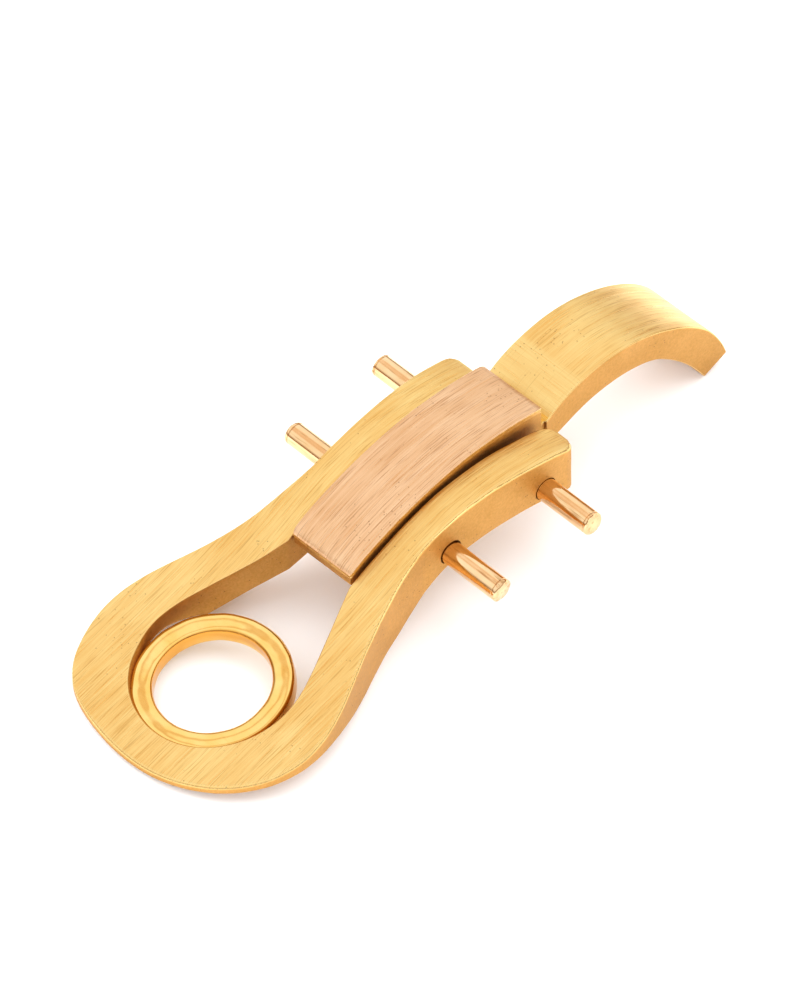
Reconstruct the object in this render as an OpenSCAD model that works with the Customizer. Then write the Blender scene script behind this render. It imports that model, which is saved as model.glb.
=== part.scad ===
// Ligature: a horseshoe frame that carries a polished ring, and a hooked lever that rocks between its two legs.
// Lengths in millimetres. X runs from the loop to the hook, Y across the legs, Z up from the table.

/* [Frame] */
// Width of the loop across its widest place
loop_w = 23.2; // [22.6:0.1:24]
// Distance from the ring's centre to the front of the loop
loop_front = 9.25; // [9.1:0.05:9.6]
// Width across the legs at their waist
waist_w = 12.8; // [12.4:0.1:13.4]
// Width across the legs at their rear ends
heel_w = 14.2; // [13.8:0.1:15]
// Width of the slot between the legs
slot_w = 7.1; // [7.1:0.05:7.4]
// Width of the slot where it flares open at the rear
flare_w = 8.2; // [8:0.1:8.8]
// Distance from the ring's centre to the rear ends of the legs
leg_end = 34.6; // [34.2:0.1:34.7]
// Height of the legs' crown above the table
crown_z = 10.64; // [10.4:0.02:10.8]

/* [Ring] */
// Diameter of the hole through the ring
ring_hole_d = 10; // [9.6:0.1:10.4]
// Outer diameter of the ring
ring_d = 13.1; // [12.9:0.05:13.2]
// Height of the ring's straight inner wall
ring_wall_h = 1.35; // [1.2:0.05:1.4]
// Rise of the ring's rounded crown above the inner wall
ring_crown_h = 0.45; // [0.35:0.05:0.6]
// Tilt of the ring, in line with the loop's slope
ring_tilt = 9; // [8.5:0.1:9.5]

/* [Cross pins] */
// Diameter of a pin
pin_d = 2.04; // [2.02:0.01:2.06]
// Length of a pin
pin_l = 24.6; // [23.6:0.1:26]
// Distance between the two pins
pin_pitch = 10.25; // [10:0.05:10.4]
// Distance from the ring's centre to the front pin
front_pin_x = 20.89; // [20.8:0.01:21]
// Height of both pins above the table
pin_z = 6.7; // [6.65:0.01:6.75]
// Radial clearance of the rear pin in the legs
running_gap = 0.05; // [0.03:0.01:0.09]
// Upward play of the front pin in the legs
lift_play = 0.19; // [0.17:0.01:0.22]

/* [Lever] */
// Width of the tongue between the legs
tongue_w = 6.6; // [6.4:0.05:6.6]
// Width of the tail behind the legs
tail_w = 7.1; // [6.9:0.05:7.2]
// Distance from the ring's centre to the front of the tongue
tongue_front = 12.7; // [12.6:0.05:12.9]
// Height of the tail's arch above the table
tail_crown_z = 11.12; // [11:0.02:11.3]

/* [Cover plate] */
// Width of the plate
plate_w = 6.8; // [6.7:0.05:6.85]
// Height of the plate's crown above the table
plate_crown_z = 11.77; // [11.6:0.01:11.9]
// Thickness of the plate, measured upright
plate_t = 0.5; // [0.4:0.05:0.6]

/* [Hidden] */
$fn = 96;

yellow_gold = [0.93, 0.73, 0.39];
bright_gold = [0.98, 0.78, 0.38];
rose_gold = [0.92, 0.72, 0.55];

bezier_steps = 20;
hook_reach = 56;                             // ring centre to the hook's outer corner
mid_x = (hook_reach - loop_front) / 2;       // puts the origin under the middle of the whole length
rear_pin_x = front_pin_x + pin_pitch;
ring_rim_z = ring_d / 2 * sin(ring_tilt) + ring_wall_h * cos(ring_tilt);   // the ring rests on the table
waist_x = 18;                                // where the loop's outline has run into the legs
throat_x = 12.3;                             // front end of the parallel slot
flare_x = 22;                                // where the slot starts to open
tongue_rear = 34.4;
shoulder_x = 34.75;
under_z = 5.2;                               // underside of the tongue

relief_d = 1.7;                              // the turned relief in a pin, just inside a leg's outer face
relief_w = 0.6;
lift_hole_r = (pin_d + lift_play) / 2 + 0.04;
lift_hole_z = pin_z + lift_play / 2 - 0.04;

function bez(a, b, c, d, t) =
    pow(1 - t, 3) * a + 3 * pow(1 - t, 2) * t * b + 3 * (1 - t) * t * t * c + pow(t, 3) * d;
function curve(a, b, c, d) = [for (i = [0 : bezier_steps - 1]) bez(a, b, c, d, i / bezier_steps)];
function mirrored(points) = [for (i = [len(points) - 1 : -1 : 0]) [points[i][0], -points[i][1]]];
function front_half(cx, reach, half_w) =
    [for (a = [0 : 4.5 : 88]) [cx - reach * cos(a), half_w * sin(a)]];

// Plan of the frame: a half ellipse at the front that runs into two legs.
outer_edge = concat(
    front_half(0, loop_front, loop_w / 2),
    curve([0, loop_w / 2], [5.2, loop_w / 2], [8.4, waist_w / 2 + 1.05], [waist_x, waist_w / 2]),
    curve([waist_x, waist_w / 2], [25, waist_w / 2], [28, heel_w / 2 - 0.05], [leg_end - 1, heel_w / 2]),
    [[leg_end - 0.5, heel_w / 2 - 0.1], [leg_end, heel_w / 2 - 0.7]]
);
inner_edge = concat(
    front_half(1.2, 7.55, 7.3),
    curve([1.2, 7.3], [4.2, 7.2], [7.3, 5.3], [throat_x, slot_w / 2]),
    [[throat_x, slot_w / 2], [flare_x, slot_w / 2], [leg_end - 1.8, slot_w / 2 + 0.35],
     [leg_end - 0.4, flare_w / 2], [leg_end, flare_w / 2 + 0.5]]
);

// Side view of the frame: the top sweeps up to a crown over the legs, and the underside is arched behind its heel.
frame_top = concat(
    curve([-loop_front - 0.1, 1.1], [-1, 3.2], [6, 4.2], [12.5, 7.1]),
    curve([12.5, 7.1], [15.8, 8.7], [20, crown_z], [25.5, crown_z]),
    curve([25.5, crown_z], [28.5, crown_z], [31.8, 10.1], [leg_end + 0.1, 9.1])
);
frame_rear = [[leg_end + 0.1, 9.1], [leg_end + 0.1, 5.6], [leg_end - 0.1, 4.9], [leg_end - 0.7, 4.45]];
frame_under = concat(
    curve([leg_end - 0.7, 4.45], [32, 5.2], [29, 5.75], [25.3, 5.75]),
    curve([25.3, 5.75], [18.5, 5.75], [18.3, 3.4], [13.5, 2]),
    curve([13.5, 2], [10, 0.9], [8.2, 0.3], [5.5, 1.25]),
    curve([5.5, 1.25], [3.2, 2.1], [-1.2, 2.3], [-loop_front - 0.1, 0.35])
);

// Side view of the plate's top face: the front end is turned down.
plate_top = concat(
    curve([12.6, 8], [14.4, 9.45], [20.8, plate_crown_z - 0.17], [26.6, plate_crown_z]),
    curve([26.6, plate_crown_z], [29, plate_crown_z], [32, 11.5], [tongue_rear, 10.98]),
    [[tongue_rear, 10.98]]
);
tongue_under = [[tongue_rear, 5.87], [33.4, under_z], [17.5, under_z], [tongue_front, 6.6]];
tail_top = concat(
    curve([tongue_rear, 8.8], [36.4, 10.4], [38.4, tail_crown_z - 0.19], [41, tail_crown_z]),
    curve([41, tail_crown_z], [45.2, tail_crown_z + 0.3], [50.3, 9.2], [53.35, 5.9]),
    curve([53.35, 5.9], [54.3, 4.92], [55.5, 2.8], [hook_reach, 1.1]),
    curve([hook_reach, 1.1], [hook_reach, 0.65], [55.7, 0.5], [55.3, 0.4])
);
tail_under = concat(
    curve([53.4, 0], [52.1, 2.2], [50.6, 4.3], [48.2, 6.2]),
    curve([48.2, 6.2], [46.9, 7.23], [44.5, 7.97], [41.8, 7.97]),
    curve([41.8, 7.97], [39.5, 7.97], [37.3, 7.2], [35.2, 6.4]),
    [[35.2, 6.4]]
);

module placed() {
    translate([-mid_x, 0, 0]) children();
}

// A side view in X and Z, carried across the part.
module side_slab(points, width) {
    rotate([90, 0, 0]) linear_extrude(width, center = true) polygon(points);
}

module cross_rod(x, z, r, length) {
    translate([x, 0, z]) rotate([90, 0, 0]) cylinder(h = length, r = r, center = true);
}

// Hollow under the throat of the loop that clears a round body.
module throat_relief() {
    relief_r = 11;
    translate([13, 0, -6.9]) rotate([0, 82, 0]) translate([0, 0, -11]) cylinder(h = 18, r = relief_r);
}

module horseshoe_frame() {
    color(yellow_gold) placed() difference() {
        intersection() {
            linear_extrude(12) difference() {
                polygon(concat(outer_edge, mirrored(outer_edge)));
                polygon(concat(inner_edge, [[leg_end + 1, flare_w / 2 + 0.5]],
                    mirrored(concat(inner_edge, [[leg_end + 1, flare_w / 2 + 0.5]]))));
            }
            side_slab(concat(frame_top, frame_rear, frame_under), loop_w + 2);
        }
        throat_relief();
        cross_rod(rear_pin_x, pin_z, pin_d / 2 + running_gap, heel_w + 2);
        cross_rod(front_pin_x, lift_hole_z, lift_hole_r, heel_w + 2);
    }
}

// The ring lies in the loop: straight bore and rounded crown.
module polished_ring() {
    hole_r = ring_hole_d / 2;
    outer_r = ring_d / 2;
    crown_r = (outer_r - hole_r) / 2;
    color(bright_gold) placed() translate([0, 0, ring_rim_z]) rotate([0, -ring_tilt, 0])
        rotate_extrude() polygon(concat([[hole_r, -ring_wall_h]],
            [for (a = [180 : -12 : 0]) [hole_r + crown_r + crown_r * cos(a), ring_crown_h * sin(a)]],
            [[outer_r, -ring_wall_h]]));
}

module hook_lever() {
    tongue_top = [for (p = plate_top) [max(p[0], tongue_front), p[1] - plate_t]];
    color(yellow_gold) placed() difference() {
        union() {
            side_slab(concat(tongue_top, tongue_under), tongue_w);
            intersection() {
                side_slab(concat([[tongue_rear - 1, under_z], [tongue_rear - 1, 8.8]], tail_top, tail_under), tail_w);
                translate([shoulder_x, -tail_w, -1]) cube([hook_reach, 2 * tail_w, 14]);
            }
            intersection() {
                side_slab(concat([[tongue_rear - 1, under_z], [tongue_rear - 1, 8.8]], tail_top, tail_under),
                    tongue_w);
                translate([tongue_rear - 0.5, -tail_w, -1]) cube([shoulder_x - tongue_rear + 1, 2 * tail_w, 14]);
            }
        }
        cross_rod(front_pin_x, pin_z, pin_d / 2, tail_w + 2);
        cross_rod(rear_pin_x, pin_z, pin_d / 2, tail_w + 2);
    }
}

module cover_plate() {
    under = [for (i = [len(plate_top) - 1 : -1 : 0]) [plate_top[i][0], plate_top[i][1] - plate_t]];
    color(rose_gold) placed() side_slab(concat(plate_top, under), plate_w);
}

// A pin is a rod with a turned relief just inside each leg's outer face, and a small bevel on each end.
module cross_pin(x, across_legs) {
    bevel = 0.2;
    free_l = (pin_l - across_legs) / 2 - bevel;
    color(rose_gold) placed() translate([x, 0, pin_z]) rotate([90, 0, 0]) union() {
        cylinder(h = across_legs - 2 * relief_w, r = pin_d / 2, center = true);
        cylinder(h = across_legs + 2, r = relief_d / 2, center = true);
        for (side = [0, 180]) rotate([side, 0, 0]) {
            translate([0, 0, across_legs / 2]) cylinder(h = free_l, r = pin_d / 2);
            translate([0, 0, pin_l / 2 - bevel]) cylinder(h = bevel, r1 = pin_d / 2, r2 = pin_d / 2 - bevel);
        }
    }
}

module front_pin() {
    cross_pin(front_pin_x, waist_w);
}

module rear_pin() {
    cross_pin(rear_pin_x, heel_w - 0.1);
}

horseshoe_frame();
polished_ring();
hook_lever();
cover_plate();
front_pin();
rear_pin();
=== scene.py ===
"""A brushed gold ligature: a horseshoe frame with a polished ring, and a hooked lever on two cross pins.

Bench sizes below are millimetres, with X measured from the ring's centre, as on the CAD drawing.
"""

import math

import bpy
import numpy as np
from mathutils import Matrix, Vector, noise


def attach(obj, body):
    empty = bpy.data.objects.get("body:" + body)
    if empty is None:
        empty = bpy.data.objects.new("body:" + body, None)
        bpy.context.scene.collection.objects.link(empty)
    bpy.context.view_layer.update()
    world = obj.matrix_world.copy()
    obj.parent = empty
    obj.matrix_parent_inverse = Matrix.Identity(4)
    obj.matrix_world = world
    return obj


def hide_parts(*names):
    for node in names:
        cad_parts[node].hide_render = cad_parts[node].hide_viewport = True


MM = 0.001
MID_X = 23.375

# Horseshoe frame
LOOP_FRONT = 9.25
LOOP_HALF_W = 11.6
WAIST_HALF_W = 6.4
HEEL_HALF_W = 7.1
SLOT_HALF_W = 3.55
LEG_END = 34.6
CROWN_Z = 10.64
OUTER_CREASE_R = 0.40
FILED_EDGE_R = 0.11
FILE_WAVE = 0.035
LOOP_BULGE = 0.72
WALL_LEAN = 0.5

# Cross pins
FRONT_PIN_X = 20.89
REAR_PIN_X = 31.14
PIN_Z = 6.7
PIN_R = 1.02
PIN_DROOP = math.radians(1.0)
LEG_HOLE_R = 1.09
LIFT_HOLE_R = 1.13
LIFT_HOLE_Z = 6.745
FRONT_PIN_ENDS = (11.95, -12.45)
REAR_PIN_ENDS = (12.25, -12.6)

# Ring
RING_X = 0.22
RING_HOLE_R = 4.88
RING_OUTER_R = 6.6
RING_WALL_H = 1.35
RING_CROWN_H = 0.52
RING_TILT = math.radians(9)

# Lever and its cover plate
TONGUE_FRONT = 12.7
TONGUE_REAR = 34.4
TONGUE_HALF_W = 3.3
TAIL_HALF_W = 3.55
SHOULDER_X = 34.75
PLATE_HALF_W = 3.4
PLATE_T = 0.5
PLATE_CROWN_Z = 11.77
CREASE_X = 38.7
CREASE_FADE = 0.5
CROSSED_START = (34.2, 34.5)

PIT_BROWN = (0.24, 0.09, 0.02)
CROSSED_GOLD = (1.0, 0.84, 0.38)
CROSSED_SHARE = 0.3

# Height of the dim line round the room's ceiling panel, as the sine of its elevation
CEILING_GAP = 0.86

# Camera
CAMERA_AZIMUTH = math.radians(-43.69)
CAMERA_HEIGHT = math.radians(48.09)
CAMERA_ROLL = math.radians(-1.31)
CAMERA_DISTANCE = 0.7605
CAMERA_TARGET = Vector((-0.00188, 0.0, 0.00738))
CAMERA_LENS = 338.5


# ---------------------------------------------------------------- curves

def bezier(points, count):
    """Points along one cubic curve, both ends included."""
    a, b, c, d = (np.array(p, float) for p in points)
    t = np.linspace(0, 1, count)[:, None]
    return (1 - t) ** 3 * a + 3 * (1 - t) ** 2 * t * b + 3 * (1 - t) * t ** 2 * c + t ** 3 * d


def chain(*curves):
    """Several curves, end to end, as one line of points."""
    parts = [curves[0]] + [c[1:] for c in curves[1:]]
    return np.vstack(parts)


def walk(line, shares):
    """Points at the given shares of a line's length."""
    steps = np.linalg.norm(np.diff(line, axis=0), axis=1)
    along = np.concatenate([[0], np.cumsum(steps)]) / steps.sum()
    return np.column_stack([np.interp(shares, along, line[:, i]) for i in range(line.shape[1])])


def height_on(line, x):
    """Height of a side-view line at x."""
    order = np.argsort(line[:, 0])
    return np.interp(x, line[order, 0], line[order, 1])


FRAME_TOP = chain(
    bezier([(-9.35, 1.1), (-1, 3.2), (6, 4.2), (12.5, 7.1)], 60),
    bezier([(12.5, 7.1), (15.8, 8.7), (20, CROWN_Z), (25.5, CROWN_Z)], 60),
    bezier([(25.5, CROWN_Z), (28.5, CROWN_Z), (31.8, 10.1), (34.7, 9.1)], 60),
)
FRAME_UNDER = chain(
    bezier([(-9.35, 0.35), (-1.2, 2.3), (3.2, 2.1), (5.5, 1.25)], 60),
    bezier([(5.5, 1.25), (8.2, 0.3), (10, 0.9), (13.5, 2)], 60),
    bezier([(13.5, 2), (18.3, 3.4), (18.5, 5.75), (25.3, 5.75)], 60),
    bezier([(25.3, 5.75), (29, 5.75), (32, 5.2), (33.9, 4.45)], 60),
    np.array([(33.9, 4.45), (34.5, 4.9), (34.7, 5.6)]),
)
PLATE_TOP = chain(
    bezier([(12.6, 8), (14.4, 9.45), (20.8, PLATE_CROWN_Z - 0.17), (26.6, PLATE_CROWN_Z)], 60),
    bezier([(26.6, PLATE_CROWN_Z), (29, PLATE_CROWN_Z), (32, 11.5), (34.4, 10.98)], 40),
)
TONGUE_UNDER = np.array([(12.7, 6.6), (17.5, 5.2), (33.4, 5.2), (34.4, 5.87)])
TAIL_TOP_START = bezier([(34.4, 8.8), (36.4, 10.4), (38.4, 10.93), (41, 11.12)], 50)
TAIL_TOP_HOOK = chain(
    bezier([(41, 11.12), (45.2, 11.42), (50.3, 9.2), (53.35, 5.9)], 60),
    bezier([(53.35, 5.9), (54.3, 4.92), (55.5, 2.8), (55.92, 1.3)], 40),
)
TAIL_UNDER_START = chain(
    np.array([(34.4, 5.87), (35.2, 6.4)]),
    bezier([(35.2, 6.4), (37.3, 7.2), (39.5, 7.97), (41.8, 7.97)], 50),
)
TAIL_UNDER_HOOK = chain(
    bezier([(41.8, 7.97), (44.5, 7.97), (46.9, 7.23), (48.2, 6.2)], 50),
    bezier([(48.2, 6.2), (50.6, 4.3), (52.1, 2.2), (53.22, 0.3)], 50),
)


# ---------------------------------------------------------------- mesh helpers

def ripple(x, y, z, size):
    """Slow unevenness that a file leaves, from -1 to 1."""
    return noise.noise(Vector((x / size, y / size, z / size)))


def rounded_box(width, height, radii, flats):
    """Outline of a box with its own radius at each corner: outer bottom, inner bottom, inner top, outer top.

    Gives rows of (across, up, top share, edge sheen share), anticlockwise from the outer bottom corner. The
    edge sheen share peaks on each rounded corner and marks wear plus a painted highlight there.
    """
    corners = [(0, 0, 180), (width, 0, 270), (width, height, 0), (0, height, 90)]
    on_top = [0, 0, 1, 1]
    rows = []
    for i, (cx, cy, start) in enumerate(corners):
        r = min(radii[i], 0.42 * height, 0.42 * width)
        ox = cx + (r if cx == 0 else -r)
        oy = cy + (r if cy == 0 else -r)
        for k in range(6):
            a = math.radians(start + 18 * k)
            lift = max(0.0, math.sin(a)) * on_top[i]
            edge_wear_and_sheen = math.sin(math.radians(36 * k)) if k else 0.0
            rows.append((ox + r * math.cos(a), oy + r * math.sin(a), lift, max(edge_wear_and_sheen, 0.0)))
        nx, ny, _ = corners[(i + 1) % 4]
        rn = min(radii[(i + 1) % 4], 0.42 * height, 0.42 * width)
        end_x = nx + (0 if i % 2 else (rn if nx == 0 else -rn))
        end_y = ny + ((rn if ny == 0 else -rn) if i % 2 else 0)
        from_x, from_y = rows[-1][0], rows[-1][1]
        for k in range(1, flats[i]):
            t = k / flats[i]
            on_flat_top = 1.0 if i == 2 else 0.0
            rows.append((from_x + (end_x - from_x) * t, from_y + (end_y - from_y) * t, on_flat_top, 0.0))
    return np.array(rows)


def skin(name, sections, marks):
    """A closed mesh over rings of points. marks holds one row of (top, edge sheen) for each ring point; on
    the pins the second column holds groove dirt instead.
    """
    count, around = len(sections), len(sections[0])
    points = [tuple(Vector(p) * MM) for s in sections for p in s]
    faces = []
    for j in range(count - 1):
        for i in range(around):
            k = (i + 1) % around
            faces.append((j * around + i, j * around + k, (j + 1) * around + k, (j + 1) * around + i))
    for j, flip in ((0, True), (count - 1, False)):
        centre = np.mean(sections[j], axis=0)
        points.append(tuple(Vector(centre) * MM))
        for i in range(around):
            a, b = j * around + i, j * around + (i + 1) % around
            faces.append((b, a, len(points) - 1) if flip else (a, b, len(points) - 1))
    mesh = bpy.data.meshes.new(name)
    mesh.from_pydata(points, [], faces)
    flat = np.array([m for ring in marks for m in ring])
    flat = np.vstack([flat, [[0, 0], [0, 0]]])
    for label, column in (("top_face", 0), ("edge_wear_sheen_and_groove_dirt", 1)):
        layer = mesh.attributes.new(label, "FLOAT", "POINT")
        layer.data.foreach_set("value", flat[:, column].astype(np.float32))
    piece = bpy.data.objects.new(name, mesh)
    bpy.context.scene.collection.objects.link(piece)
    return piece


def face_outwards(piece):
    """Turns the skin the right way out and smooths it between its sharp edges."""
    mesh = piece.data
    points = np.zeros(len(mesh.vertices) * 3)
    mesh.vertices.foreach_get("co", points)
    points = points.reshape(-1, 3)
    mesh.calc_loop_triangles()
    corners = np.zeros(len(mesh.loop_triangles) * 3, int)
    mesh.loop_triangles.foreach_get("vertices", corners)
    a, b, c = (points[corners.reshape(-1, 3)[:, i]] for i in range(3))
    if np.einsum("ij,ij->i", a, np.cross(b, c)).sum() < 0:
        mesh.flip_normals()
    mesh.shade_smooth()
    mesh.set_sharp_from_angle(angle=math.radians(38))


def settle(piece):
    """Bakes the piece's modifiers into one plain mesh."""
    deps = bpy.context.evaluated_depsgraph_get()
    baked = bpy.data.meshes.new_from_object(piece.evaluated_get(deps))
    piece.modifiers.clear()
    piece.data = baked
    baked.name = piece.name
    return piece


def drill(piece, x, z, r, droop):
    """A cross hole through both legs, drilled a little lower on the right."""
    around = 56
    turns = np.linspace(0, 2 * math.pi, around, False)
    sections = [
        [(x - MID_X + r * math.cos(a), y, z + y * math.tan(droop) + r * math.sin(a)) for a in turns]
        for y in (-12, 12)
    ]
    bit = skin("drill_bit", sections, [[(0, 0)] * around] * 2)
    face_outwards(bit)
    cut = piece.modifiers.new("hole", "BOOLEAN")
    cut.operation = "DIFFERENCE"
    cut.solver = "EXACT"
    cut.object = bit
    settle(piece)
    bpy.data.objects.remove(bit)


# ---------------------------------------------------------------- pieces

def frame_edges():
    """Outer and inner plan edges of half the frame, paired point by point, from the front to a leg's end."""
    turn = np.radians(np.linspace(0, 88, 60))
    outer_front = np.column_stack([-LOOP_FRONT * np.cos(turn), LOOP_HALF_W * np.sin(turn)])
    inner_front = np.column_stack([1.2 - 7.55 * np.cos(turn), 7.3 * np.sin(turn)])
    outer_flank = bezier(
        [(0, LOOP_HALF_W), (5.2, LOOP_HALF_W), (8.4, WAIST_HALF_W + 1.05), (18, WAIST_HALF_W)], 70
    )
    inner_flank = bezier([(1.2, 7.3), (4.2, 7.2), (7.3, 5.3), (12.3, SLOT_HALF_W)], 70)
    outer_leg = chain(
        bezier([(18, WAIST_HALF_W), (25, WAIST_HALF_W), (28, 7.05), (33.6, HEEL_HALF_W)], 80),
        np.array([(33.6, HEEL_HALF_W), (34.1, 7.0), (34.42, 6.7), (LEG_END - 0.06, 6.4)]),
    )
    inner_leg = chain(
        np.array([(12.3, SLOT_HALF_W), (22, SLOT_HALF_W)]),
        bezier([(22, SLOT_HALF_W), (26, 3.6), (30.8, 3.78), (33.6, 3.95)], 30),
        np.array([(33.6, 3.95), (34.2, 4.15), (LEG_END - 0.06, 4.6)]),
    )
    shares = np.linspace(0, 1, 110)
    outer = np.vstack([outer_front, outer_flank, walk(outer_leg, shares)[1:]])
    inner = np.vstack([inner_front, inner_flank, walk(inner_leg, shares)[1:]])
    return outer, inner


def throat_relief(x, y):
    """Height of the round hollow under the throat."""
    slope = math.radians(8)
    if not 2.1 < x < 19.9 or abs(y) > 10.9:
        return -9.0
    return -6.9 + (x - 13) * math.tan(slope) + math.sqrt(121 - y * y) / math.cos(slope)


def front_angle(point):
    """Angle of a plan point round the loop: 0 at the front, positive towards the left leg."""
    return math.degrees(math.atan2(point[1] / LOOP_HALF_W, -point[0] / LOOP_FRONT))


def bulge(edge, amount):
    """The loop was bent by hand, so its front left quarter stands out a little."""
    moved = []
    for point in edge:
        angle = front_angle(point)
        push = amount * math.exp(-((angle - 46) / 22) ** 2)
        moved.append(point + push * np.array([-math.cos(math.radians(angle)), math.sin(math.radians(angle))]))
    return np.array(moved)


def crease_radius(point):
    """The outer top edge is crisp on the left and rounded soft by wear from the front of the loop round to
    the right.
    """
    soft = min(1.0, max(0.0, (42 - front_angle(point)) / 30))
    return FILED_EDGE_R + (OUTER_CREASE_R - FILED_EDGE_R) * soft


def ring_side(point):
    """1 where the loop's inner wall leans in to hold the ring, 0 further back."""
    return min(1.0, max(0.0, (112 - abs(front_angle(point))) / 40))


def frame_section(outer, inner, inset):
    """One slice through the frame between an outer and an inner edge point."""
    width = float(np.linalg.norm(inner - outer))
    mid = (outer + inner) / 2
    high = height_on(FRAME_TOP, mid[0])
    low = max(height_on(FRAME_UNDER, mid[0]), throat_relief(mid[0], mid[1]))
    height = high - low
    box = rounded_box(width, height, [0.16, FILED_EDGE_R, FILED_EDGE_R, crease_radius(outer)], [9, 8, 12, 8])
    ring, marks = [], []
    for across, up, top, edge_wear_and_sheen in box:
        across = inset + across * (width - 2 * inset) / width
        up = inset + up * (height - 2 * inset) / height
        lean = WALL_LEAN * ring_side(inner) * (across / width) ** 4 * (1 - up / height)
        x, y = outer + (inner - outer) * (across + lean) / width
        z_low = max(height_on(FRAME_UNDER, x), throat_relief(x, y))
        z = z_low + (height_on(FRAME_TOP, x) - z_low) * up / height
        z += FILE_WAVE * ripple(x, y, z, 2.6) * min(1.0, height / 3) * (0.4 + 0.6 * top)
        y += FILE_WAVE * ripple(x + 40, y, z, 2.2) * (1 - top)
        ring.append((x - MID_X, y, z))
        marks.append((top, edge_wear_and_sheen))
    return ring, marks


def make_horseshoe_frame():
    """The bent and filed bar: a thin loop in front, two thick arched legs behind."""
    outer, inner = frame_edges()
    flip = np.array([1, -1])
    outer = np.vstack([outer[::-1], outer[1:] * flip])
    inner = np.vstack([inner[::-1], inner[1:] * flip])
    outer = bulge(outer, LOOP_BULGE)
    inner = bulge(inner, LOOP_BULGE / 6)
    sections, marks = [], []
    last = len(outer) - 1
    for j, (o, i) in enumerate(zip(outer, inner)):
        ring, mark = frame_section(o, i, 0.0)
        sections.append(ring)
        marks.append(mark)
        if j in (0, last):
            grown = []
            for inset, reach in ((0.02, 0.03), (0.05, 0.05), (0.1, 0.06)):
                ring, mark = frame_section(o + (reach, 0), i + (reach, 0), inset)
                grown.append((ring, mark))
            if j == 0:
                sections[0:0] = [g[0] for g in reversed(grown)]
                marks[0:0] = [g[1] for g in reversed(grown)]
            else:
                sections += [g[0] for g in grown]
                marks += [g[1] for g in grown]
    piece = skin("horseshoe_frame_brushed", sections, marks)
    face_outwards(piece)
    drill(piece, REAR_PIN_X, PIN_Z, LEG_HOLE_R, PIN_DROOP)
    drill(piece, FRONT_PIN_X, LIFT_HOLE_Z, LIFT_HOLE_R, PIN_DROOP)
    face_outwards(piece)
    return piece


def lever_stations():
    """Side-view pairs of top and underside points along the lever, with the half width at each."""
    rows = []
    for x in np.concatenate([[TONGUE_FRONT, TONGUE_FRONT + 0.12], np.linspace(13.2, TONGUE_REAR, 90)]):
        top = height_on(PLATE_TOP, x) - PLATE_T - 0.01
        rows.append(((x, top), (x, height_on(TONGUE_UNDER, x)), TONGUE_HALF_W))
    shares = np.linspace(0, 1, 60)
    for t, u in zip(walk(TAIL_TOP_START, shares), walk(TAIL_UNDER_START, shares)):
        wide = TAIL_HALF_W if t[0] > SHOULDER_X else TONGUE_HALF_W
        rows.append((tuple(t), tuple(u), wide))
    shares = np.linspace(0, 1, 130)[1:]
    for t, u in zip(walk(TAIL_TOP_HOOK, shares), walk(TAIL_UNDER_HOOK, shares)):
        rows.append((tuple(t), tuple(u), TAIL_HALF_W))
    return rows


def lever_section(top, under, half_w, inset, reach):
    """One slice across the lever."""
    t, u = np.array(top), np.array(under)
    height = float(np.linalg.norm(t - u))
    up_dir = (t - u) / height
    on = np.array([up_dir[1], -up_dir[0]])
    box = rounded_box(2 * half_w, height, [0.12, 0.12, 0.13, 0.13], [8, 8, 14, 8])
    ring, marks = [], []
    for across, up, is_top, edge_wear_and_sheen in box:
        across = inset + across * (2 * half_w - 2 * inset) / (2 * half_w)
        up = inset + up * (height - 2 * inset) / height
        x, z = u + up_dir * up + on * reach
        y = across - half_w
        wave = FILE_WAVE * 0.7 * ripple(x, y, z, 3.1)
        x += up_dir[0] * wave * is_top
        z += up_dir[1] * wave * is_top
        y += FILE_WAVE * 0.6 * ripple(x, y + 20, z, 2.4) * (1 - is_top)
        ring.append((x - MID_X, y, z))
        marks.append((is_top, edge_wear_and_sheen))
    return ring, marks


def make_hook_lever():
    """The tongue between the legs and the tail that arches over and turns down into a hook."""
    rows = lever_stations()
    sections, marks = [], []
    for inset, reach in ((0.1, -0.0), (0.04, 0.02)):
        ring, mark = lever_section(*rows[0], inset, reach)
        sections.append(ring)
        marks.append(mark)
    for row in rows[1:]:
        ring, mark = lever_section(*row, 0.0, 0.0)
        sections.append(ring)
        marks.append(mark)
    tip_r = 0.3
    for a in np.radians([25, 50, 72, 90]):
        ring, mark = lever_section(*rows[-1], tip_r * (1 - math.cos(a)), tip_r * math.sin(a))
        sections.append(ring)
        marks.append(mark)
    piece = skin("hook_lever_brushed", sections, marks)
    face_outwards(piece)
    return piece


def make_cover_plate():
    """The arched plate on the tongue, its front end rolled over."""
    sections, marks = [], []
    line = walk(PLATE_TOP, np.linspace(0, 1, 130))
    slope = np.gradient(line, axis=0)
    slope /= np.linalg.norm(slope, axis=1)[:, None]
    reaches = [(0.16, 0.0), (0.07, 0.03), (0.02, 0.09)]
    for j, (point, run) in enumerate(zip(line, slope)):
        inset = 0.0
        if j < 3:
            inset = reaches[j][0]
        if j > len(line) - 3:
            inset = 0.05 * (j - len(line) + 3)
        box = rounded_box(2 * PLATE_HALF_W, PLATE_T, [0.06, 0.06, 0.1, 0.1], [12, 3, 16, 3])
        ring, mark = [], []
        for across, up, top, edge_wear_and_sheen in box:
            across = inset + across * (PLATE_HALF_W - inset) / PLATE_HALF_W
            up = inset + up * (PLATE_T - 2 * inset) / PLATE_T
            x = point[0]
            y = across - PLATE_HALF_W
            z = point[1] - PLATE_T + up
            nick = 0.025 * ripple(x * 3, y, 7, 1.0) * (1 - top)
            z += 0.02 * ripple(x, y, 3, 2.6) * top
            ring.append((x - MID_X, y + nick, z))
            mark.append((top, edge_wear_and_sheen))
        sections.append(ring)
        marks.append(mark)
    piece = skin("cover_plate_brushed", sections, marks)
    face_outwards(piece)
    return piece


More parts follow.
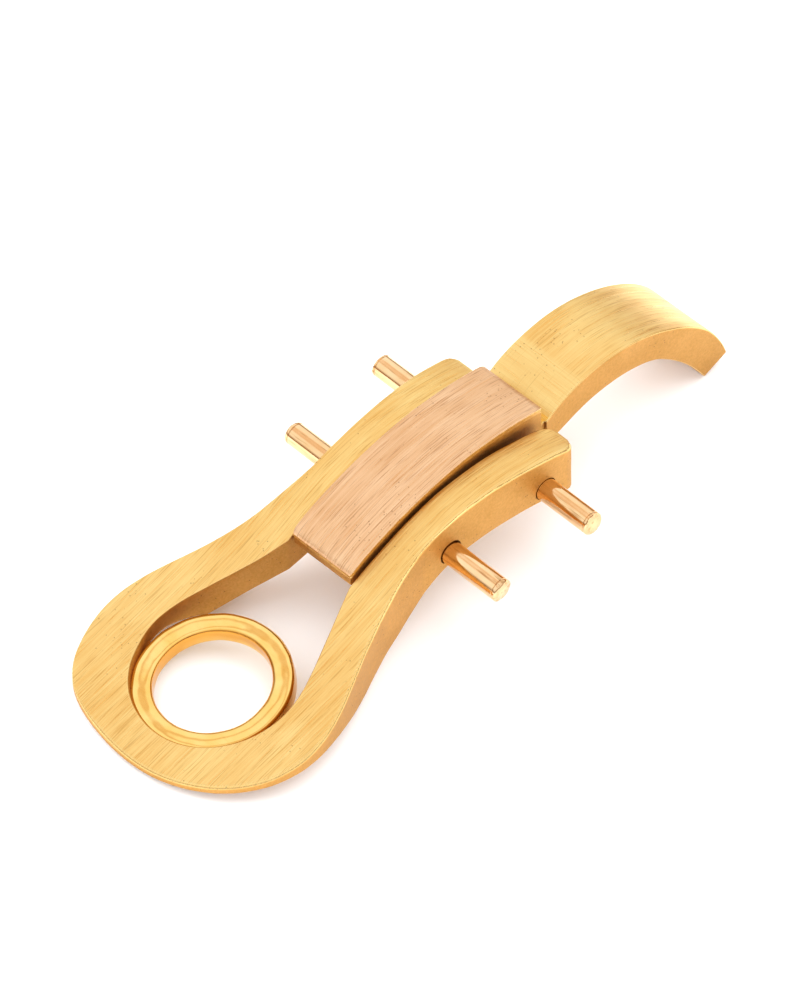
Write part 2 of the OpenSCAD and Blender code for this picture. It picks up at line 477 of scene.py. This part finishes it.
def make_cross_pin(name, x, left_end, right_end, seed):
    """A polished rod. Its ends have a turned line, a small bevel and a rough slanted cut."""
    ends = [(0.0, PIN_R - 0.24), (0.05, PIN_R - 0.14), (0.12, PIN_R - 0.05), (0.2, PIN_R)]
    ends += [(0.4, PIN_R), (0.43, PIN_R - 0.05), (0.5, PIN_R - 0.05), (0.53, PIN_R)]
    rows = [(left_end - y, r) for y, r in ends]
    rows += [(y, PIN_R) for y in np.linspace(left_end - 0.7, right_end + 0.7, 80)]
    rows += [(right_end + y, r) for y, r in reversed(ends)]
    around = 72
    sections, marks = [], []
    for y, r in rows:
        ring, mark = [], []
        from_end = min(left_end - y, y - right_end)
        near_end = max(0.0, 1 - from_end / 0.34)
        for a in np.linspace(0, 2 * math.pi, around, False):
            swell = 1 + 0.005 * ripple(y * 0.8 + seed, math.cos(a) * 1.2, math.sin(a) * 1.2, 1.0)
            slant = 0.1 * near_end * (1 - math.cos(a - 2.4 - seed))
            rough = 0.05 * near_end * ripple(math.cos(a) * 3 + seed, math.sin(a) * 3, y, 1.0)
            along = y - math.copysign(slant + rough, y)
            px = x - MID_X + r * swell * math.cos(a)
            pz = PIN_Z + along * math.tan(PIN_DROOP) + r * swell * math.sin(a)
            ring.append((px, along, pz))
            groove = 0.25 + 0.5 * ripple(math.cos(a) * 2 + seed, math.sin(a) * 2, 5, 1.0)
            mark.append((1.0, groove if r < PIN_R and from_end > 0.3 else 0.3 * near_end))
        sections.append(ring)
        marks.append(mark)
    piece = skin(name, sections, marks)
    face_outwards(piece)
    return piece


# ---------------------------------------------------------------- the ring's rule, as geometry nodes

def add_node(tree, kind, settings=None, values=None):
    """A new node with its settings and the values of its unlinked sockets."""
    made = tree.nodes.new(kind)
    for key, value in (settings or {}).items():
        setattr(made, key, value)
    for key, value in (values or {}).items():
        made.inputs[key].default_value = value
    return made


def maths(tree, operation, a, b=None, c=None):
    """One Math node. a, b and c are sockets or numbers."""
    made = add_node(tree, "ShaderNodeMath", {"operation": operation})
    for i, value in enumerate((a, b, c)):
        if value is None:
            continue
        if isinstance(value, (int, float)):
            made.inputs[i].default_value = value
        else:
            tree.links.new(value, made.inputs[i])
    return made.outputs[0]


def signed_power(tree, value, power):
    """Keeps the sign of value and raises its size to a power, which squares off a circle."""
    size = maths(tree, "POWER", maths(tree, "ABSOLUTE", value), power)
    return maths(tree, "MULTIPLY", maths(tree, "SIGN", value), size)


def ring_tree(material):
    """A ring swept round its axis: a rounded crown on a square foot, with a slight polishing swell."""
    tree = bpy.data.node_groups.new("turned_ring", "GeometryNodeTree")
    names = ["Mean radius", "Band half width", "Crown height", "Foot depth", "Crown power", "Foot power"]
    names += ["Dish", "Flare", "Swell", "Tilt", "Rise"]
    for label in names:
        tree.interface.new_socket(label, in_out="INPUT", socket_type="NodeSocketFloat")
    tree.interface.new_socket("Ring", in_out="OUTPUT", socket_type="NodeSocketGeometry")
    given = add_node(tree, "NodeGroupInput").outputs
    link = tree.links.new
    grid = add_node(
        tree, "GeometryNodeMeshGrid", values={"Size X": 1, "Size Y": 1, "Vertices X": 289, "Vertices Y": 97}
    )
    place = add_node(tree, "GeometryNodeInputPosition")
    split = add_node(tree, "ShaderNodeSeparateXYZ")
    link(place.outputs[0], split.inputs[0])
    round_axis = maths(tree, "MULTIPLY", maths(tree, "ADD", split.outputs[0], 0.5), 2 * math.pi)
    round_band = maths(tree, "MULTIPLY", maths(tree, "ADD", split.outputs[1], 0.5), 2 * math.pi)
    sine = maths(tree, "SINE", round_band)
    on_crown = maths(tree, "GREATER_THAN", sine, 0.0)
    rounder = maths(tree, "SUBTRACT", given["Crown power"], given["Foot power"])
    power = maths(tree, "MULTIPLY_ADD", on_crown, rounder, given["Foot power"])
    taller = maths(tree, "SUBTRACT", given["Crown height"], given["Foot depth"])
    reach = maths(tree, "MULTIPLY_ADD", on_crown, taller, given["Foot depth"])
    out = signed_power(tree, maths(tree, "COSINE", round_band), power)
    up = signed_power(tree, sine, power)
    band = maths(tree, "MULTIPLY", out, given["Band half width"])
    outer_share = maths(tree, "MULTIPLY_ADD", out, 0.5, 0.5)
    inner_share = maths(tree, "MULTIPLY_ADD", out, -0.5, 0.5)
    upper_share = maths(tree, "MULTIPLY_ADD", up, 0.5, 0.5)
    lower_share = maths(tree, "MULTIPLY_ADD", up, -0.5, 0.5)
    flare = maths(tree, "MULTIPLY", maths(tree, "MULTIPLY", outer_share, lower_share), given["Flare"])
    dish = maths(tree, "MULTIPLY", maths(tree, "MULTIPLY", inner_share, upper_share), given["Dish"])
    radius = maths(tree, "ADD", maths(tree, "ADD", given["Mean radius"], band), flare)
    level = maths(tree, "SUBTRACT", maths(tree, "MULTIPLY", up, reach), dish)
    joined = add_node(tree, "ShaderNodeCombineXYZ")
    link(maths(tree, "MULTIPLY", radius, maths(tree, "COSINE", round_axis)), joined.inputs[0])
    link(maths(tree, "MULTIPLY", radius, maths(tree, "SINE", round_axis)), joined.inputs[1])
    link(level, joined.inputs[2])
    shaped = add_node(tree, "GeometryNodeSetPosition")
    link(grid.outputs["Mesh"], shaped.inputs["Geometry"])
    link(joined.outputs[0], shaped.inputs["Position"])
    closed = add_node(tree, "GeometryNodeMergeByDistance", values={"Distance": 1e-6})
    link(shaped.outputs[0], closed.inputs["Geometry"])
    lumps = add_node(tree, "ShaderNodeTexNoise", values={"Scale": 420.0, "Detail": 1.0})
    link(place.outputs[0], lumps.inputs["Vector"])
    amount = maths(tree, "MULTIPLY", maths(tree, "SUBTRACT", lumps.outputs["Fac"], 0.5), given["Swell"])
    outward = add_node(tree, "GeometryNodeInputNormal")
    push = add_node(tree, "ShaderNodeVectorMath", {"operation": "SCALE"})
    link(outward.outputs[0], push.inputs[0])
    link(amount, push.inputs["Scale"])
    polished = add_node(tree, "GeometryNodeSetPosition")
    link(closed.outputs[0], polished.inputs["Geometry"])
    link(push.outputs[0], polished.inputs["Offset"])
    turn = add_node(tree, "ShaderNodeCombineXYZ")
    link(given["Tilt"], turn.inputs[1])
    lift = add_node(tree, "ShaderNodeCombineXYZ")
    link(given["Rise"], lift.inputs[2])
    laid = add_node(tree, "GeometryNodeTransform")
    link(polished.outputs[0], laid.inputs["Geometry"])
    link(turn.outputs[0], laid.inputs["Rotation"])
    link(lift.outputs[0], laid.inputs["Translation"])
    smooth = add_node(tree, "GeometryNodeSetShadeSmooth")
    link(laid.outputs[0], smooth.inputs["Geometry"])
    real = add_node(tree, "GeometryNodeRealizeInstances")
    link(smooth.outputs[0], real.inputs["Geometry"])
    coated = add_node(tree, "GeometryNodeSetMaterial", values={"Material": material})
    link(real.outputs[0], coated.inputs["Geometry"])
    final = add_node(tree, "NodeGroupOutput")
    link(coated.outputs[0], final.inputs[0])
    return tree


def make_polished_ring(material):
    """The turned ring in the front of the loop, tilted with the loop's slope and resting on the table."""
    rim_z = RING_OUTER_R * math.sin(RING_TILT) + RING_WALL_H * math.cos(RING_TILT)
    sizes = {
        "Mean radius": (RING_HOLE_R + RING_OUTER_R) / 2 * MM,
        "Band half width": (RING_OUTER_R - RING_HOLE_R) / 2 * MM,
        "Crown height": RING_CROWN_H * MM,
        "Foot depth": RING_WALL_H * MM,
        "Crown power": 0.92,
        "Foot power": 0.22,
        "Dish": 0.12 * MM,
        "Flare": 0.14 * MM,
        "Swell": 0.12 * MM,
        "Tilt": -RING_TILT,
        "Rise": rim_z * MM,
    }
    mesh = bpy.data.meshes.new("polished_ring_turned")
    piece = bpy.data.objects.new("polished_ring_turned", mesh)
    bpy.context.scene.collection.objects.link(piece)
    tree = ring_tree(material)
    turned = piece.modifiers.new("turned", "NODES")
    turned.node_group = tree
    for item in tree.interface.items_tree:
        if item.in_out == "INPUT":
            turned[item.identifier] = sizes[item.name]
    settle(piece)
    piece.data.transform(Matrix.Translation(((RING_X - MID_X) * MM, 0, 0)))
    face_outwards(piece)
    return piece


# ---------------------------------------------------------------- finishes

def new_finish(name, roughness):
    """An empty metal, with its coordinates."""
    finish = bpy.data.materials.new(name)
    finish.use_nodes = True
    tree = finish.node_tree
    metal = tree.nodes["Principled BSDF"]
    metal.inputs["Metallic"].default_value = 1.0
    metal.inputs["Roughness"].default_value = roughness
    place = add_node(tree, "ShaderNodeTexCoord").outputs["Object"]
    return finish, tree, metal, place


def grain(tree, place, stretch, detail=2.0):
    """Noise whose features are 1/stretch metres long on each axis."""
    laid = add_node(tree, "ShaderNodeMapping", values={"Scale": stretch})
    tree.links.new(place, laid.inputs["Vector"])
    made = add_node(tree, "ShaderNodeTexNoise", values={"Scale": 1.0, "Detail": detail, "Roughness": 0.6})
    tree.links.new(laid.outputs[0], made.inputs["Vector"])
    return made.outputs["Fac"]


def spread(tree, value, low, high, to_low=0.0, to_high=1.0):
    """Stretches value from low..high to to_low..to_high, clamped."""
    made = add_node(tree, "ShaderNodeMapRange", values={1: low, 2: high, 3: to_low, 4: to_high})
    tree.links.new(value, made.inputs[0])
    return made.outputs[0]


def blend_colour(tree, share, first, second):
    """Mixes two colours or colour sockets by share."""
    made = add_node(tree, "ShaderNodeMix", {"data_type": "RGBA"})
    tree.links.new(share, made.inputs[0])
    for i, value in ((6, first), (7, second)):
        if isinstance(value, tuple):
            made.inputs[i].default_value = (*value, 1.0)
        else:
            tree.links.new(value, made.inputs[i])
    return made.outputs[2]


def blend_value(tree, share, first, second):
    """Mixes two numbers or sockets by share."""
    made = add_node(tree, "ShaderNodeMix", {"data_type": "FLOAT"})
    for i, value in ((0, share), (2, first), (3, second)):
        if isinstance(value, (int, float)):
            made.inputs[i].default_value = value
        else:
            tree.links.new(value, made.inputs[i])
    return made.outputs[0]


def attribute(tree, name):
    """A number stored on the mesh."""
    made = add_node(tree, "ShaderNodeAttribute", {"attribute_name": name})
    return made.outputs["Fac"]


def pits(tree, place, per_metre, size):
    """Small scattered pits: 1 in a pit, 0 elsewhere."""
    made = add_node(tree, "ShaderNodeTexVoronoi", values={"Scale": per_metre, "Randomness": 1.0})
    tree.links.new(place, made.inputs["Vector"])
    near = spread(tree, made.outputs["Distance"], size * 0.6, size, 1.0, 0.0)
    few = spread(tree, grain(tree, place, (260, 260, 260), 1.0), 0.5, 0.56)
    return maths(tree, "MULTIPLY", near, few)


def relief(tree, metal, height, strength, depth):
    """Bump from a height between 0 and 1."""
    bump = add_node(tree, "ShaderNodeBump", values={"Strength": strength, "Distance": depth})
    tree.links.new(height, bump.inputs["Height"])
    tree.links.new(bump.outputs[0], metal.inputs["Normal"])


def crossed_zone(tree, place):
    """1 on the flat start of the tail, which is brushed across, 0 elsewhere."""
    split = add_node(tree, "ShaderNodeSeparateXYZ")
    tree.links.new(place, split.inputs[0])
    along = split.outputs[0]
    start, full = [(x - MID_X) * MM for x in CROSSED_START]
    crease, end = (CREASE_X - MID_X) * MM, (CREASE_X + CREASE_FADE - MID_X) * MM
    behind_plate = spread(tree, along, start, full)
    before_crease = spread(tree, along, crease, end, 1.0, 0.0)
    return maths(tree, "MULTIPLY", behind_plate, before_crease)


def brushed_finish(name, bright, deep, shaded_side_bright, shaded_side_deep, scratch, crossed):
    """Brushed on top along the part, satin and grainy on the sides, with painted shade: the sides take
    darker, more orange colours than the top. Along the rounded edges a painted highlight, partly wear, pushes
    the colour towards the bright top colour.
    """
    finish, tree, metal, place = new_finish(name, 0.36)
    top = attribute(tree, "top_face")
    edge_wear_and_sheen = attribute(tree, "edge_wear_sheen_and_groove_dirt")
    fine = grain(tree, place, (190, 7600, 190), 3.0)
    long_lines = grain(tree, place, (60, 2300, 60), 3.0)
    cuts = grain(tree, place, (270, 9800, 270), 2.0)
    if crossed:
        zone = crossed_zone(tree, place)
        fine = blend_value(tree, zone, fine, grain(tree, place, (7600, 190, 190), 3.0))
        long_lines = blend_value(tree, zone, long_lines, grain(tree, place, (2300, 60, 60), 3.0))
        cuts = maths(tree, "MULTIPLY_ADD", zone, -0.05, cuts)
    clouds = grain(tree, place, (160, 160, 160), 2.0)
    sand = grain(tree, place, (4600, 4600, 4600), 3.0)
    strokes = blend_value(tree, 0.4, spread(tree, fine, 0.36, 0.64), spread(tree, long_lines, 0.36, 0.64))
    top_mix = blend_value(tree, 0.3, strokes, spread(tree, clouds, 0.38, 0.62))
    top_colour = blend_colour(tree, top_mix, deep, bright)
    dark_cut = spread(tree, cuts, 0.55, 0.68, 0.0, 0.62)
    top_colour = blend_colour(tree, dark_cut, top_colour, scratch)
    if crossed:
        paler = maths(tree, "MULTIPLY", zone, CROSSED_SHARE)
        top_colour = blend_colour(tree, paler, top_colour, CROSSED_GOLD)
    side_mix = blend_value(tree, 0.4, spread(tree, sand, 0.32, 0.68), spread(tree, clouds, 0.35, 0.65))
    shaded_side_colour = blend_colour(tree, side_mix, shaded_side_deep, shaded_side_bright)
    # Painted shade: side faces get the side colours, darker and more orange than the top colours.
    colour = blend_colour(tree, top, shaded_side_colour, top_colour)
    # Painted highlight, partly real wear: colour along the rounded edges is pushed towards the bright top
    # colour.
    colour = blend_colour(tree, spread(tree, edge_wear_and_sheen, 0.2, 1.0, 0.0, 0.5), colour, bright)
    dots = pits(tree, place, 2300, 0.16)
    pit_share = maths(tree, "MULTIPLY", dots, blend_value(tree, top, 0.8, 0.5))
    colour = blend_colour(tree, pit_share, colour, PIT_BROWN)
    tree.links.new(colour, metal.inputs["Base Color"])
    side_rough = spread(tree, sand, 0.2, 0.8, 0.42, 0.58)
    top_rough = spread(tree, fine, 0.3, 0.7, 0.24, 0.46)
    rough = blend_value(tree, top, side_rough, top_rough)
    rough = blend_value(tree, spread(tree, edge_wear_and_sheen, 0.3, 1.0), rough, 0.22)
    tree.links.new(rough, metal.inputs["Roughness"])
    height = maths(tree, "SUBTRACT", blend_value(tree, top, sand, strokes), dots)
    relief(tree, metal, height, 0.6, 0.03 * MM)
    return finish


def polished_finish(name, bright, deep, tarnish, streak_share, shaded_wall_colour=None):
    """Mirror polished, with faint wipe marks, dark streaks and dirt in the turned lines. When given a wall
    colour, it paints shade on the ring's straight walls instead of the dirt.
    """
    finish, tree, metal, place = new_finish(name, 0.08)
    clouds = grain(tree, place, (420, 420, 420), 2.0)
    wipes = grain(tree, place, (900, 900, 2600), 3.0)
    colour = blend_colour(tree, spread(tree, clouds, 0.3, 0.7), deep, bright)
    streak = spread(tree, grain(tree, place, (3000, 260, 3000), 2.0), 0.56, 0.70, 0.0, streak_share)
    colour = blend_colour(tree, streak, colour, tarnish)
    if shaded_wall_colour:
        # Painted shade: the ring's straight walls take a darker orange than its crown.
        colour = blend_colour(tree, shaded_wall_share(tree, place), colour, shaded_wall_colour)
    else:
        colour = blend_colour(tree, attribute(tree, "edge_wear_sheen_and_groove_dirt"), colour, PIT_BROWN)
    tree.links.new(colour, metal.inputs["Base Color"])
    tree.links.new(spread(tree, wipes, 0.3, 0.75, 0.05, 0.17), metal.inputs["Roughness"])
    relief(tree, metal, wipes, 0.08, 0.05 * MM)
    return finish


def shaded_wall_share(tree, place):
    """1 on the ring's straight inner and outer walls, where shade is painted in a darker orange, 0 on its
    crown.
    """
    centre = add_node(tree, "ShaderNodeVectorMath", {"operation": "SUBTRACT"})
    centre.inputs[1].default_value = ((RING_X - MID_X) * MM, 0, 0)
    tree.links.new(place, centre.inputs[0])
    flat = add_node(tree, "ShaderNodeVectorMath", {"operation": "MULTIPLY"})
    flat.inputs[1].default_value = (1, 1, 0)
    tree.links.new(centre.outputs[0], flat.inputs[0])
    length = add_node(tree, "ShaderNodeVectorMath", {"operation": "LENGTH"})
    tree.links.new(flat.outputs[0], length.inputs[0])
    radius = length.outputs["Value"]
    bore = spread(tree, radius, (RING_HOLE_R + 0.02) * MM, (RING_HOLE_R + 0.16) * MM, 1.0, 0.0)
    rim = spread(tree, radius, (RING_OUTER_R - 0.2) * MM, (RING_OUTER_R - 0.02) * MM)
    return maths(tree, "MAXIMUM", bore, rim)


# ---------------------------------------------------------------- stage

def make_floor():
    """A white table top, far larger than the part."""
    half, under = 2.5, -0.00002
    mesh = bpy.data.meshes.new("table_top")
    corners = [(-half, -half, under), (half, -half, under), (half, half, under), (-half, half, under)]
    mesh.from_pydata(corners, [], [(0, 1, 2, 3)])
    floor = bpy.data.objects.new("table_top", mesh)
    bpy.context.scene.collection.objects.link(floor)
    white = bpy.data.materials.new("white_table")
    white.use_nodes = True
    paint = white.node_tree.nodes["Principled BSDF"]
    paint.inputs["Base Color"].default_value = (0.93, 0.945, 0.97, 1)
    paint.inputs["Roughness"].default_value = 0.9
    paint.inputs["Specular IOR Level"].default_value = 0.1
    mesh.materials.append(white)


def add_softbox(name, place, aim, size, watts, tint):
    """A square soft light at place, turned to aim. Metal doesn't mirror it, so it lights the table alone."""
    box = bpy.data.lights.new(name, "AREA")
    box.size = size
    box.energy = watts
    box.color = tint
    lamp = bpy.data.objects.new(name, box)
    lamp.location = place
    lamp.rotation_euler = (Vector(aim) - Vector(place)).to_track_quat("-Z", "Y").to_euler()
    lamp.visible_glossy = False
    bpy.context.scene.collection.objects.link(lamp)


def light_the_room():
    """A bright room with a warm dim band low down and a thin one where the walls meet the ceiling panel."""
    room = bpy.data.worlds.new("white_room")
    room.use_nodes = True
    tree = room.node_tree
    back = tree.nodes["Background"]
    place = add_node(tree, "ShaderNodeTexCoord")
    split = add_node(tree, "ShaderNodeSeparateXYZ")
    tree.links.new(place.outputs["Generated"], split.inputs[0])
    high = spread(tree, split.outputs[2], 0.10, 0.42)
    shade = blend_colour(tree, high, (0.30, 0.19, 0.11), (1.0, 1.0, 1.0))
    from_gap = maths(tree, "ABSOLUTE", maths(tree, "SUBTRACT", split.outputs[2], CEILING_GAP))
    shade = blend_colour(tree, spread(tree, from_gap, 0.02, 0.06, 0.6, 0.0), shade, (0.72, 0.44, 0.22))
    tree.links.new(shade, back.inputs["Color"])
    back.inputs["Strength"].default_value = 1.12
    bpy.context.scene.world = room
    add_softbox("key_softbox", (-0.35, 0.6, 0.8), (0, 0, 0), 1.2, 8.0, (1.0, 1.0, 1.0))
    add_softbox("fill_softbox", (0.6, -0.35, 0.8), (0, 0, 0), 1.2, 6.5, (1.0, 1.0, 1.0))
    add_softbox("low_softbox", (-0.7, -0.6, 0.5), (0, 0, 0), 1.0, 6.5, (1.0, 1.0, 1.0))


def set_camera():
    """A long lens from the front left, looking down."""
    a, e = CAMERA_AZIMUTH, CAMERA_HEIGHT
    back = Vector((math.sin(a) * math.cos(e), -math.cos(a) * math.cos(e), math.sin(e)))
    right = Vector((math.cos(a), math.sin(a), 0))
    up = back.cross(right)
    right = right * math.cos(CAMERA_ROLL) + up * math.sin(CAMERA_ROLL)
    up = back.cross(right)
    lens = bpy.data.cameras.new("camera")
    lens.lens = CAMERA_LENS
    lens.sensor_width = 36
    lens.clip_start, lens.clip_end = 0.05, 20
    camera = bpy.data.objects.new("camera", lens)
    turn = Matrix((right, up, back)).transposed().to_4x4()
    camera.matrix_world = Matrix.Translation(CAMERA_TARGET + back * CAMERA_DISTANCE) @ turn
    bpy.context.scene.collection.objects.link(camera)
    bpy.context.scene.camera = camera


# ---------------------------------------------------------------- assembly

def dress(piece, finish, body, node):
    """Gives a piece its finish and its body, and hides the CAD part it stands for."""
    piece.data.materials.clear()
    piece.data.materials.append(finish)
    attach(piece, body)
    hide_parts(node)


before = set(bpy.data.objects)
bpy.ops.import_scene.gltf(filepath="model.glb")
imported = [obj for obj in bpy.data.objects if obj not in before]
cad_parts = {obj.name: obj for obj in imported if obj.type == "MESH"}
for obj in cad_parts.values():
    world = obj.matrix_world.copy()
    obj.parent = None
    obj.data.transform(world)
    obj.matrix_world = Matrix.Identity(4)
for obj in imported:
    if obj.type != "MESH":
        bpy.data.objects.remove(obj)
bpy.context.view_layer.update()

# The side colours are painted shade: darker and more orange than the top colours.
yellow = brushed_finish(
    "brushed_yellow_gold", bright=(1.0, 0.75, 0.31), deep=(0.86, 0.50, 0.14),
    shaded_side_bright=(0.70, 0.38, 0.11), shaded_side_deep=(0.50, 0.25, 0.05), scratch=(0.62, 0.32, 0.07), crossed=True
)
rose = brushed_finish(
    "brushed_rose_gold", bright=(1.0, 0.69, 0.43), deep=(0.78, 0.44, 0.21),
    shaded_side_bright=(0.88, 0.55, 0.18), shaded_side_deep=(0.60, 0.32, 0.08), scratch=(0.42, 0.18, 0.07), crossed=False
)
# The ring's wall colour is painted shade, a darker orange than its crown.
bright_yellow = polished_finish(
    "polished_yellow_gold", bright=(1.0, 0.72, 0.26), deep=(0.95, 0.60, 0.16),
    tarnish=(0.60, 0.28, 0.04), streak_share=0.1, shaded_wall_colour=(0.74, 0.36, 0.06)
)
bright_rose = polished_finish(
    "polished_rose_gold", bright=(1.0, 0.72, 0.42), deep=(0.92, 0.58, 0.28),
    tarnish=(0.45, 0.22, 0.07), streak_share=0.6
)

dress(make_horseshoe_frame(), yellow, "frame", "horseshoe_frame")
dress(make_polished_ring(bright_yellow), bright_yellow, "frame", "polished_ring")
dress(make_hook_lever(), yellow, "lever", "hook_lever")
dress(make_cover_plate(), rose, "lever", "cover_plate")
front_pin = make_cross_pin("front_pin_polished", FRONT_PIN_X, *FRONT_PIN_ENDS, 0.0)
dress(front_pin, bright_rose, "lever", "front_pin")
rear_pin = make_cross_pin("rear_pin_polished", REAR_PIN_X, *REAR_PIN_ENDS, 2.1)
dress(rear_pin, bright_rose, "lever", "rear_pin")

make_floor()
light_the_room()
set_camera()
bpy.context.scene.view_settings.view_transform = "Standard"
